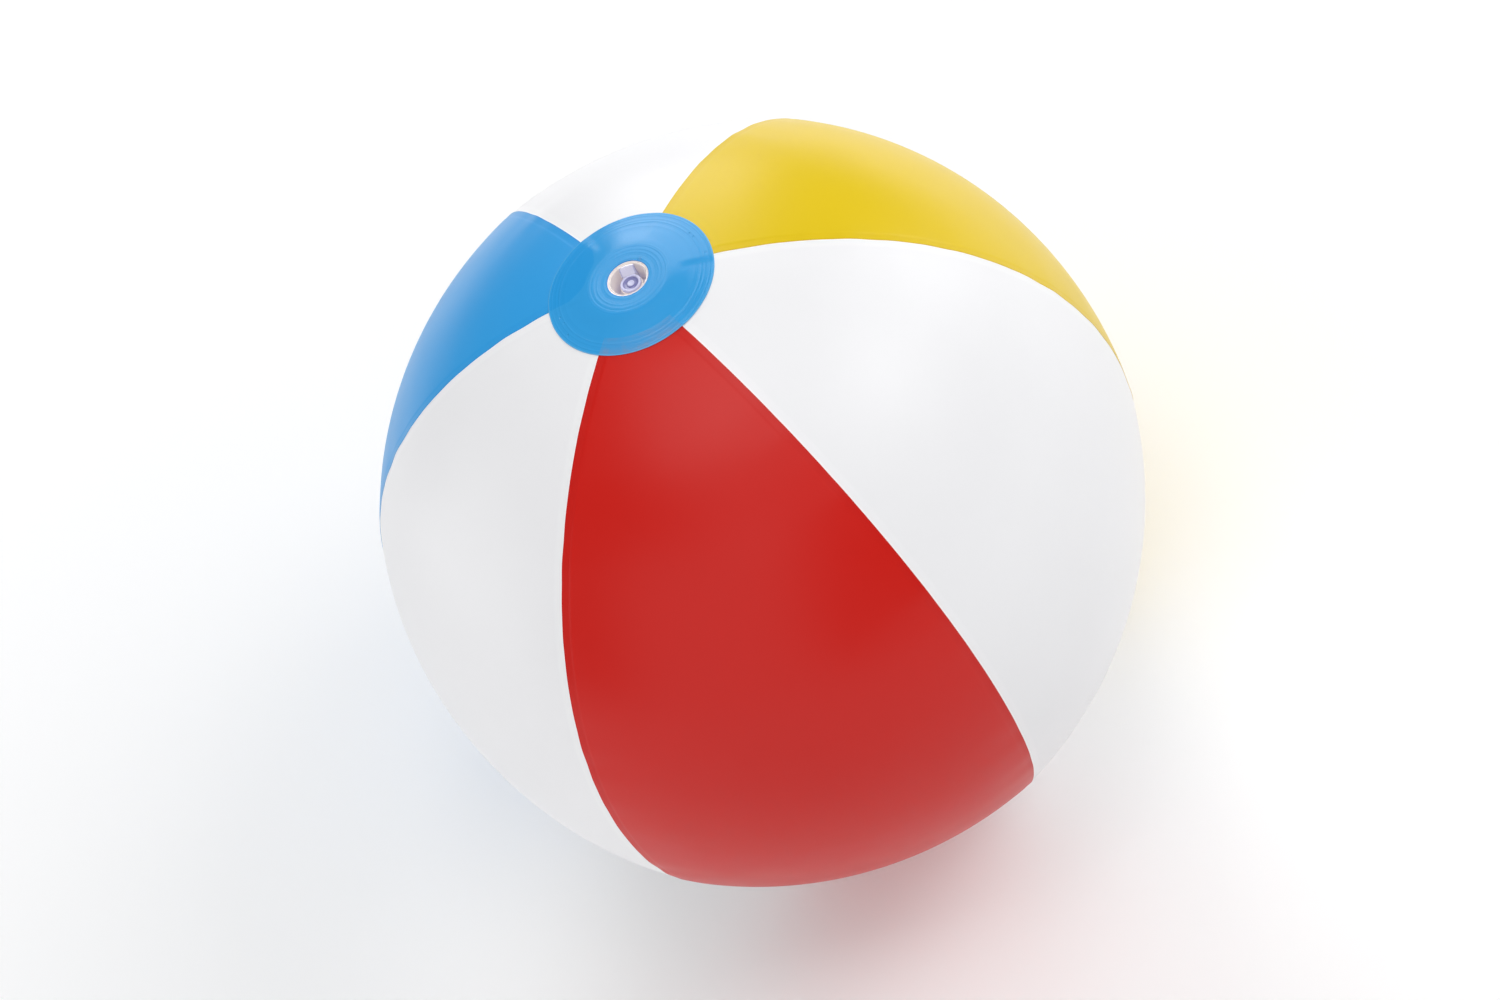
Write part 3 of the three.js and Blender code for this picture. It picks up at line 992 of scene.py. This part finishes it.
@dataclass
class Discs:
    """The two end discs, with their weld rings. Sizes are in millimetres, and angles in degrees.

    Attributes:
        skin: The shape they lie on.
        finish: Their film.
        rim: Radius of a disc.
        film: Thickness of a disc.
        face: Height of a disc's flat face over the white film.
        on_white: Gap between a disc's weld and the white film.
        on_coloured: How much higher it lies over the coloured film.
        hole: Radius of the valve's opening.
        flat: How far the valve's flange keeps the disc flat.
        rest: Radius of the patch that the ball stands on.
        rest_fade: How far outside it the lower disc's lift has come down to the weld's.
        relief: Depth that the outer face keeps in hand for its ridges.
        ridges: Height of each of the weld's rings.
        ridge_width: Width of each.
        band: How far the weld is pressed in.
        band_in: From where to where the pressed band starts.
        band_out: From where to where it ends.
        steps: Radius and height of the low steps over the valve's flange.
        step_width: Width of each.
        slope_end: Where the slope from the flat face down to the weld ends.
        tip_in: From where to where the coloured gores' tips lift the disc.
        tip_side: The same, in degrees from the middle of a tip.
        segments: Steps round a disc.
    """

    skin: Skin = field(default_factory=Skin)
    finish: Finish = Finish(
        "blue_disc_film", (0.036, 0.335, 0.72), (0.016, 0.26, 0.66), 0.2, 0.34, Relief.WELDED
    )
    rim: float = 35.5
    film: float = 0.3
    face: float = 1.15
    on_white: float = 0.06
    on_coloured: float = 0.22
    hole: float = 8.775
    flat: float = 16.125
    rest: float = 24.0
    rest_fade: float = 3.4
    relief: float = 0.05
    ridges: tuple[float, ...] = (0.035, 0.065, 0.04, 0.075)
    ridge_width: float = 0.3
    band: float = 0.08
    band_in: tuple[float, float] = (27.9, 28.6)
    band_out: tuple[float, float] = (34.2, 34.9)
    steps: tuple[tuple[float, float], ...] = (
        (10.2, 0.03),
        (11.6, -0.015),
        (13.2, 0.025),
        (14.7, 0.02),
        (15.9, -0.045),
        (17.3, 0.02),
    )
    step_width: float = 0.36
    slope_end: float = 27.5
    tip_in: tuple[float, float] = (20, 26)
    tip_side: tuple[float, float] = (29, 38)
    segments: int = 240

    def welds(self, radius: Array) -> Array:
        """Ridges on the weld's rings, and the band that is pressed a little into the film.

        Each ridge is its height times exp(-(distance from its ring / ridge_width)^2).

        Args:
            radius: Distance from the polar axis.

        Returns:
            The height, in millimetres.
        """
        at_rings = zip(DiscMaterial.RINGS, self.ridges, strict=True)
        ridges = sum(high * bump(radius - at, self.ridge_width) for at, high in at_rings)
        return ridges - self.band * (smoothstep(*self.band_in, radius) - smoothstep(*self.band_out, radius))

    def rings_round_valve(self, radius: Array) -> Array:
        """Low steps over the valve's flange, each of them its height times a bump."""
        return sum(high * bump(radius - at, self.step_width) for at, high in self.steps)

    def lift(self, radius: Array, turn: Array) -> Array:
        """Height of a disc's underside over the white film.

        It falls from the flat face's height to the weld's, from 1 mm outside the flat part to slope_end. Over
        the coloured gores' tips it lies higher, by a smooth step of the angle from their middles.

        Args:
            radius: Distance from the polar axis.
            turn: Angle round it, where the coloured gores' middles are at -90, 30 and 150 degrees.

        Returns:
            The height, in millimetres.
        """
        low = self.on_white
        high = self.face - self.film
        down = smoothstep(self.flat + 1, self.slope_end, radius)
        third = 2 * math.pi / 3
        off_middle = np.abs((turn - math.radians(30) + third / 2) % third - third / 2)
        full, gone = (math.radians(degrees) for degrees in self.tip_side)
        coloured = 1 - smoothstep(full, gone, off_middle)
        return high + (low - high) * down + self.on_coloured * coloured * smoothstep(*self.tip_in, radius)

    def surface(self, radius: Array, side: int, face: bool) -> Array:
        """One face of a disc.

        The point at radius r and turn a is (r cos a, r sin a, centre + side (skin + lift)), where skin is the
        ball's height at r, and stays level inside the flat part.

        Args:
            radius: Radii, in millimetres.
            side: 1 for the upper disc, -1 for the lower one.
            face: Whether it is the outer face, which has the relief, or the inner one.

        Returns:
            A grid of radii by turns by 3, in metres.
        """
        turn = np.arange(self.segments) * (2 * math.pi / self.segments)
        flat = self.flat if side > 0 else self.rest
        skin = self.skin.height(np.maximum(radius, flat) * MM)[:, None]
        lift = self.lift(radius[:, None], turn) if side > 0 else self.low_lift(radius[:, None], turn)
        if face:
            lift = lift + self.film - self.relief + self.welds(radius)[:, None]
            lift = lift + (self.rings_round_valve(radius)[:, None] if side > 0 else 0)
        height = self.skin.centre_height + side * (skin + lift * MM)
        if face and side < 0:
            height = np.maximum(height, 0)
        across = radius[:, None] * MM
        return np.stack([across * np.cos(turn), across * np.sin(turn), height], -1)

    def low_lift(self, radius: Array, turn: Array) -> Array:
        """The lower disc's lift, which stays that of its flat face out to the resting patch's rim.

        Args:
            radius: Distance from the polar axis.
            turn: Angle round it.

        Returns:
            The height, in millimetres.
        """
        flat = self.face - self.film
        lift = self.lift(radius, turn)
        return lift + (flat - lift) * (1 - smoothstep(self.rest, self.rest + self.rest_fade, radius))

    def build(self) -> None:
        """Make and dress both discs."""
        material = DiscMaterial(self.finish).build()
        outside = np.linspace(self.flat, self.rim - 0.1, 150)[1:]
        for node, side, inside in (
            ("valve_disc", 1, np.linspace(self.hole + 0.1, self.flat, 50)),
            ("base_disc", -1, np.linspace(0.0, self.flat, 40)),
        ):
            radius = np.concatenate([inside, outside])
            face, back = self.surface(radius, side, True), self.surface(radius, side, False)
            rim = self.edge(face[-1], back[-1], self.rim)
            rings = [back, rim, face[::-1]]
            if side > 0:
                rings.append(self.edge(face[0], back[0], self.hole))
            points = np.concatenate(rings)
            piece = ring_surface(f"{node}_film", points if side > 0 else points[::-1], closed=side > 0)
            dress(piece, material, self.finish.slot, "ball", node)

    @staticmethod
    def edge(face: Array, back: Array, radius: float) -> Array:
        """The ring that closes an edge, half way between two rings but at its own radius.

        Args:
            face: The ring on the outer face.
            back: The ring on the inner face.
            radius: The edge's radius, in millimetres.

        Returns:
            A grid of one ring.
        """
        middle = (face + back) / 2
        middle[:, :2] *= radius * MM / np.linalg.norm(middle[:, :2], axis=1, keepdims=True)
        return middle[None]


# ---------------------------------------------------------------------------------------------------------
# The valve
# ---------------------------------------------------------------------------------------------------------


@dataclass
class Valve:
    """The soft clear moulding that the ball is blown up through.

    Sizes are in millimetres, and heights are from the valve disc's top face.

    Attributes:
        milky: Finish of the flange, sleeve and stem.
        lilac: Finish of the stopper.
        strap_film: Finish of the strap and the check flap.
        bore: Radius of the stem's bore.
        stem: Outer radius of the stem.
        stem_foot: Height of its lower end.
        stem_top: Height of its upper end.
        shoulder: Heights of the underside and top of its shoulder.
        cap: Radius of the stopper's cap.
        cap_foot: Height of the cap's underside.
        cap_top: Height of its rim.
        spigot_end: Height of the spigot's end.
        spigot_taper: How much narrower the spigot is at its end.
        collar: Outer radius of the sleeve.
        wall: Thickness of the sleeve.
        flange: Radius of the flange.
        flange_faces: Heights of its underside and top.
        sleeve_rows: Lowest and highest full row of the sleeve.
        sleeve_ends: Heights of its foot and lip.
        folds: Place in degrees, width in degrees and depth of each soft fold in the sleeve.
        strap_half: Half the strap's width.
        strap_bend: Radius of the strap's fold.
        strap_turn: How far the fold turns the strap, in degrees.
        strap_run: Its length from the fold to the stopper.
        strap_thick: Half its thickness.
        fold_height: Height of the fold's centre.
        strap_y: The upright strap's distance from the axis, before it bows.
        bow: Radius of the circle that the upright strap's middle follows.
        flap_radius: Radius of the check flap.
        flap_neck: How far its neck reaches.
        flap_faces: Heights of its underside and top.
        segments: Steps round a turned piece.
        face: Height of the valve disc's top face over the floor, in metres.
    """

    milky: ClearFinish = ClearFinish(
        "clear_plastic", "clear_vinyl_cream", (0.84, 0.765, 0.73), (0.46, 0.43, 0.60), 0.08
    )
    lilac: ClearFinish = ClearFinish(
        "clear_plastic", "clear_vinyl_lilac", (0.52, 0.52, 0.74), (0.17, 0.17, 0.38), 0.06
    )
    strap_film: ClearFinish = ClearFinish(
        "clear_plastic", "clear_vinyl_strap", (0.66, 0.65, 0.78), (0.33, 0.34, 0.58), 0.35, 0.12
    )
    bore: float = 3.1
    stem: float = 4.8
    stem_foot: float = -18.0
    stem_top: float = -4.6
    shoulder: tuple[float, float] = (-11.4, -10.4)
    cap: float = 4.4
    cap_foot: float = -4.3
    cap_top: float = -3.1
    spigot_end: float = -6.3
    spigot_taper: float = 0.75
    collar: float = 8.325
    wall: float = 0.6
    flange: float = 15.825
    flange_faces: tuple[float, float] = (-1.2, -0.34)
    sleeve_rows: tuple[float, float] = (-10.0, -0.7)
    sleeve_ends: tuple[float, float] = (-10.1, -0.42)
    folds: tuple[tuple[float, float, float], ...] = ((-150, 24, 1.5), (22, 13, 1.3), (-55, 20, 1.1))
    strap_half: float = 3.1
    strap_bend: float = 0.6
    strap_turn: float = 146.4
    strap_run: float = 2.9
    strap_thick: float = 0.2
    fold_height: float = -1.15
    strap_y: float = 6.6
    bow: float = 7.42
    flap_radius: float = 4.15
    flap_neck: float = 4.75
    flap_faces: tuple[float, float] = (-18.68, -18.32)
    segments: int = 96
    face: float = field(init=False)

    def __post_init__(self) -> None:
        """Read where the CAD puts the disc's top face."""
        self.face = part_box("valve_disc")[1].z

    def place(self, points: Array) -> Array:
        """Points in millimetres from the disc's face, as metres in the frame."""
        return points * MM + np.array([0, 0, self.face])

    def moulding(self, node: str, points: Array, depth: Array, closed: bool) -> Piece:
        """A ringed piece for a CAD node, with its vertex value depth.

        Args:
            node: The CAD node.
            points: A grid of points, in millimetres.
            depth: How deep the colour is at each of them.
            closed: Whether the last ring joins the first.

        Returns:
            The piece.
        """
        piece = ring_surface(f"{node}_moulding", self.place(points), closed)
        if not closed:
            depth = np.concatenate([depth[0, :1], depth[1:-1].reshape(-1), depth[-1, :1]])
        set_float(piece, "depth", depth)
        return piece

    def ring(self, node: str, corners: Sequence[tuple[float, float]], rounding: float) -> Piece:
        """A turned ring with rounded corners, whose colour deepens below the sleeve as painted shade down the
        hole.

        Args:
            node: The CAD node.
            corners: Radius and height of each corner.
            rounding: Of every corner.

        Returns:
            The ring.
        """
        points = revolved(rounded(corners, [rounding] * len(corners), closed=True), self.segments)
        # Deeper colour low down is painted shade inside the hole.
        return self.moulding(node, points, smoothstep(-5, -9, points[..., 2]) * 0.7, closed=True)

    def build(self) -> None:
        """Make and dress the valve's pieces."""
        milky, lilac, strap = self.milky.build(), self.lilac.build(), self.strap_film.build()
        slot = self.milky.slot
        inner = self.collar + 0.03
        low, high = self.flange_faces
        flange = [(inner, low), (self.flange, low), (self.flange, high), (inner, high)]
        dress(self.ring("valve_flange", flange, 0.14), milky, slot, "ball", "valve_flange")
        dress(self.sleeve(), milky, slot, "ball", "valve_collar")
        under, over = self.shoulder
        stem = [
            (self.bore, self.stem_foot),
            (self.stem, self.stem_foot),
            (self.stem, under),
            (self.collar, under),
            (self.collar, over),
            (self.stem, over),
            (self.stem, self.stem_top),
            (self.bore, self.stem_top),
        ]
        dress(self.ring("valve_stem", stem, 0.25), milky, slot, "valve", "valve_stem")
        dress(self.stopper(), lilac, slot, "stopper", "stopper")
        dress(self.strap(), strap, slot, "valve", "stopper_strap")
        dress(self.flap(), strap, slot, "check_flap", "check_flap")

    def sleeve(self) -> Piece:
        """The sleeve between flange and shoulder, which turns inside out as the valve is pulled.

        Its wall is a closed ring of two faces. For each of three soft folds away from the strap, both move
        in towards the axis by depth (sin(pi t))^2 exp(-(turn from the fold / width)^2), where t runs from 0
        at the top to 1 at the bottom. Its colour deepens towards the bottom and in the folds, as painted shade
        down the hole and in the creases.

        Returns:
            The sleeve, blended between the ball and the valve.
        """
        height = np.linspace(*self.sleeve_rows, 44)
        outer = np.stack([np.full_like(height, self.collar - 0.02), height], -1)
        inner = np.stack([np.full_like(height, self.collar - self.wall), height], -1)[::-1]
        middle = self.collar - self.wall / 2
        foot, lip = ([[middle, end]] for end in self.sleeve_ends)
        points = revolved(np.concatenate([outer, lip, inner, foot]), self.segments)
        turn = np.degrees(np.arctan2(points[..., 1], points[..., 0]))
        t = np.clip((points[..., 2] + 0.6) / -9.5, 0, 1)
        fold = 0 * t
        for at, width, deep in self.folds:
            fold += deep * bump((turn - at + 180) % 360 - 180, width)
        fold *= np.sin(math.pi * t) ** 2
        points[..., :2] *= (1 - fold / self.collar)[..., None]
        # Deeper towards the bottom and in the folds: painted shade down the hole and in the creases.
        depth = 0.55 * smoothstep(0.35, 0.9, t) + 0.25 * np.clip(fold, 0, 1)
        piece = self.moulding("valve_collar", points, depth, closed=True)
        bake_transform(piece, "ball", "valve", (0, 0, self.face - 0.6 * MM), (0, 0, self.face - 10.1 * MM))
        return piece

    def stopper(self) -> Piece:
        """The stopper: a rimmed cap with a ring groove round a bright button, on a tapered spigot.

        Returns:
            The stopper, whose colour is deepest in the groove and darker under the cap, as painted shade.
        """
        plug = self.bore - 0.25
        spigot = [(0, self.spigot_end), (plug - self.spigot_taper, self.spigot_end), (plug, -4.5)]
        cap = [(plug, self.cap_foot), (self.cap, self.cap_foot), (self.cap, self.cap_top)]
        groove_sides = [(self.cap - 1.05, self.cap_top), (self.cap - 1.3, -3.75), (1.75, -3.9)]
        button = [(1.5, -3.3), (1.1, -3.22), (0, -3.3)]
        radii = [0, 0.3, 0.1, 0.1, 0.35, 0.35, 0.3, 0.3, 0.2, 0.2, 0.3, 0]
        profile = rounded([*spigot, *cap, *groove_sides, *button], radii, closed=False)
        points = revolved(profile, self.segments)
        radius = np.hypot(points[..., 0], points[..., 1])
        # Painted shade: deep in the ring groove, and part way under the cap.
        groove = smoothstep(1.45, 1.7, radius) * (1 - smoothstep(3.1, 3.5, radius))
        above = smoothstep(-4.2, -3.95, points[..., 2])
        return self.moulding("stopper", points, groove * above + (1 - above) * 0.3, closed=False)

    def strap(self) -> Piece:
        """The strap: a flat rounded band, up from the shoulder, over its fold and down to the stopper's cap.

        Its middle line runs up at strap_y, round an arc of radius strap_bend that turns by strap_turn, and
        straight on to inside the cap's rim. Its section is a superellipse of exponent 4. The upright part
        and the fold bow out to a circle of radius bow round the valve's axis, and the rest flattens towards
        the cap.

        Returns:
            The strap, blended between the valve and the stopper.
        """
        turned_by = math.radians(self.strap_turn)
        pivot = np.array([self.strap_y - self.strap_bend, self.fold_height])
        height = np.linspace(-10.1, self.fold_height - 0.1, 16)
        up = np.stack([np.full_like(height, self.strap_y), height], -1)
        turn = np.linspace(0, turned_by, 12)[:, None]
        arc = pivot + self.strap_bend * np.concatenate([np.cos(turn), np.sin(turn)], -1)
        heading = np.array([-math.sin(turned_by), math.cos(turned_by)])
        down = arc[-1] + heading * np.linspace(0, self.strap_run, 12)[1:, None]
        line = np.concatenate([up, arc, down])
        ahead = np.gradient(line, axis=0)
        ahead /= np.linalg.norm(ahead, axis=1, keepdims=True)
        normal = np.stack([ahead[:, 1], -ahead[:, 0]], -1)
        around = np.linspace(0, 2 * math.pi, 41)[:-1]
        side = np.sign(np.cos(around)) * np.abs(np.cos(around)) ** 0.5
        thick = self.strap_thick * np.sign(np.sin(around)) * np.abs(np.sin(around)) ** 0.5
        x = np.broadcast_to(self.strap_half * side, (len(line), len(around)))
        yz = line[:, None] + normal[:, None] * thick[None, :, None]
        points = np.concatenate([x[..., None], yz], -1)
        bowed = np.concatenate([np.ones(len(up) + len(arc)), np.linspace(1, 0, len(down) + 1)[1:]])[:, None]
        points[..., 1] += bowed * (np.sqrt(self.bow**2 - x**2) - self.strap_y)
        points = np.concatenate([points[:1], points, points[-1:]])
        edge = smoothstep(0.72, 0.98, np.abs(points[..., 0]) / self.strap_half)
        piece = self.moulding("stopper_strap", points, 0.9 * edge, closed=False)
        start, end = (0, 6.45 * MM, self.face - 1.9 * MM), (0, 5.85 * MM, self.face - 1.84 * MM)
        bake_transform(piece, "valve", "stopper", start, end)
        return piece

    def flap(self) -> Piece:
        """The check flap: a thin disc with a neck out to its hinge.

        Its outline is (radius cos a, radius sin a), with y drawn out to flap_neck by a smooth step of sin a.
        Each ring is a share of the outline, and the rings near it curve in from both faces.

        Returns:
            The flap.
        """
        around = np.arange(self.segments) * (2 * math.pi / self.segments)
        x, y = self.flap_radius * np.cos(around), self.flap_radius * np.sin(around)
        y = y + smoothstep(0.84, 0.93, np.sin(around)) * (self.flap_neck - y)
        share = np.array([0, 0.3, 0.65, 0.9, 0.98, 1.0])[:, None]
        fall = np.array([0, 0, 0, 0.01, 0.05, 0.14])[:, None]
        low, high = self.flap_faces
        top = np.stack([share * x, share * y, high - fall + 0 * x], -1)
        under = np.stack([share * x, share * y, low + fall + 0 * x], -1)
        points = np.concatenate([under, top[::-1]])
        return self.moulding("check_flap", points, 0.4 + 0 * points[..., 0], closed=False)


# ---------------------------------------------------------------------------------------------------------
# The studio
# ---------------------------------------------------------------------------------------------------------


@dataclass(frozen=True)
class Softbox:
    """A square area light that camera rays don't see.

    Attributes:
        name: The light's name.
        azimuth: Where it stands round the ball, in degrees from +X towards +Y.
        elevation: How high it stands from the ball's centre, in degrees.
        radiance: How bright its face is, 1 being white.
        side: Of the square.
    """

    name: str
    azimuth: float
    elevation: float
    radiance: float
    side: float = 1.1

    @property
    def direction(self) -> Vector:
        """Towards it from the ball.

        Returns:
            A vector of length 1.
        """
        azimuth, elevation = math.radians(self.azimuth), math.radians(self.elevation)
        level = math.cos(elevation)
        return Vector((level * math.cos(azimuth), level * math.sin(azimuth), math.sin(elevation)))


@dataclass
class Studio:
    """The camera, floor, sky and softboxes.

    Attributes:
        SENSOR: Width of the camera's sensor, in millimetres.
        centre: The ball's centre.
        turn: Rows are the camera's right, up and back axes.
        reach: Camera to ball, in seam radii.
        aside: How far the ball's centre lies right of and above the picture's centre, in seam radii.
        lens: Focal length over the picture's width.
        sky: Radiance of the surroundings, which camera rays see as white.
        floor_glow: Radiance that the floor gives out by itself near the ball.
        far_painted_glow: How much more it gives out far from the ball, as painted light that leaves the floor
            darker round the ball.
        painted_glow_rise: From where to where that grows, in metres from the ball.
        floor_white: Reflectance of the floor.
        floor_half: Half its width, in metres.
        box_distance: From the ball's centre to each softbox.
        softboxes: The lights.
    """

    SENSOR: ClassVar[float] = 36.0
    centre: Vector
    turn: Matrix
    reach: float = 6.6716
    aside: tuple[float, float] = (0.038, -0.0092)
    lens: float = 2524.2 / 1500
    sky: float = 0.10
    floor_glow: float = 0.12
    far_painted_glow: float = 0.42
    painted_glow_rise: tuple[float, float] = (0.2, 1.8)
    floor_white: float = 0.88
    floor_half: float = 12.0
    box_distance: float = 2.6
    softboxes: tuple[Softbox, ...] = (
        Softbox("softbox_front", -105, 25, 1.0, 2.4),
        Softbox("softbox_left", 180, 8, 2.3, 1.8),
        Softbox("softbox_back", 90, 20, 3.5),
        Softbox("softbox_back_high", 90, 42, 2.7),
        Softbox("softbox_right_low", 30, 20, 3.2),
        Softbox("softbox_right_high", 0, 42, 4.6),
        Softbox("softbox_front_high", -60, 65, 0.8, 2.2),
        Softbox("softbox_overhead", 0, 88, 2.35, 1.6),
    )

    def build(self) -> None:
        """Set up everything round the ball."""
        self.camera()
        self.floor()
        self.surroundings()
        for box in self.softboxes:
            self.light(box)
        view = bpy.context.scene.view_settings
        view.view_transform = "Standard"
        view.look = "None"

    def camera(self) -> None:
        """Place the camera, turned and set back as the fields say."""
        data = bpy.data.cameras.new("camera")
        data.sensor_width = self.SENSOR
        data.lens = self.SENSOR * self.lens
        data.clip_end = 50
        made = bpy.data.objects.new("camera", data)
        radius = Skin().seam_radius
        offset = Vector((-self.aside[0], -self.aside[1], self.reach)) * radius
        columns = self.turn.transposed()
        place = self.centre + columns @ offset
        made.matrix_world = Matrix.Translation(place) @ columns.to_4x4()
        bpy.context.scene.collection.objects.link(made)
        bpy.context.scene.camera = made

    def floor(self) -> None:
        """A pale floor that glows a little, and more far from the ball like a lit sweep: painted light, which
        leaves it darker round the ball as painted shade.
        """
        half = self.floor_half
        corners = np.array([[-half, -half, 0], [half, -half, 0], [half, half, 0], [-half, half, 0]], float)
        made = new_mesh_object("floor", corners, np.array([[0, 1, 2, 3]]))
        material = bpy.data.materials.new("floor")
        material.use_nodes = True
        shader = material.node_tree.nodes["Principled BSDF"]
        white = self.floor_white
        shader.inputs["Base Color"].default_value = (white, white, white, 1)
        shader.inputs["Roughness"].default_value = 0.9
        shader.inputs["Specular IOR Level"].default_value = 0.0
        shader.inputs["Emission Color"].default_value = (0.985, 0.985, 1.0, 1)
        nodes = Nodes(material.node_tree)
        place = nodes.add("ShaderNodeTexCoord").outputs["Object"]
        away = nodes.add("ShaderNodeVectorMath", {"Vector": place}, operation="LENGTH").outputs["Value"]
        # Painted light: the floor's own glow grows away from the ball, so it is darker round the ball.
        glow = nodes.maths("ADD", nodes.ramp(away, *self.painted_glow_rise, self.far_painted_glow), self.floor_glow)
        nodes.feed(shader.inputs["Emission Strength"], glow)
        made.data.materials.append(material)

    def surroundings(self) -> None:
        """An even pale sky."""
        world = bpy.data.worlds.new("surroundings")
        world.use_nodes = True
        nodes = Nodes(world.node_tree)
        background = world.node_tree.nodes["Background"]
        background.inputs["Color"].default_value = (0.99, 0.99, 1.0, 1)
        seen = nodes.add("ShaderNodeLightPath").outputs["Is Camera Ray"]
        nodes.feed(background.inputs["Strength"], nodes.maths("MAXIMUM", seen, self.sky))
        bpy.context.scene.world = world

    def light(self, box: Softbox) -> None:
        """Place one softbox, facing the ball.

        Args:
            box: The softbox.
        """
        data = bpy.data.lights.new(box.name, "AREA")
        data.shape = "SQUARE"
        data.size = box.side
        data.energy = box.radiance * math.pi * box.side**2
        made = bpy.data.objects.new(box.name, data)
        made.location = self.centre + box.direction * self.box_distance
        made.rotation_euler = box.direction.to_track_quat("Z", "Y").to_euler()
        made.visible_camera = False
        bpy.context.scene.collection.objects.link(made)


def main() -> None:
    """Build the skin, the discs, the valve and the studio."""
    logging.basicConfig(level=logging.INFO, format="%(name)s: %(message)s")
    Skins().build()
    Discs().build()
    Valve().build()
    right, up, back = (-0.3347, 0.88337, -0.32808), (-0.83688, -0.11862, 0.53438), (0.43314, 0.45342, 0.77898)
    turn = Matrix((right, up, back)) @ Matrix.Rotation(math.radians(120), 3, "Z")
    Studio(centre=Vector((0, 0, Skin().centre_height)), turn=turn).build()


if __name__ == "__main__":
    main()
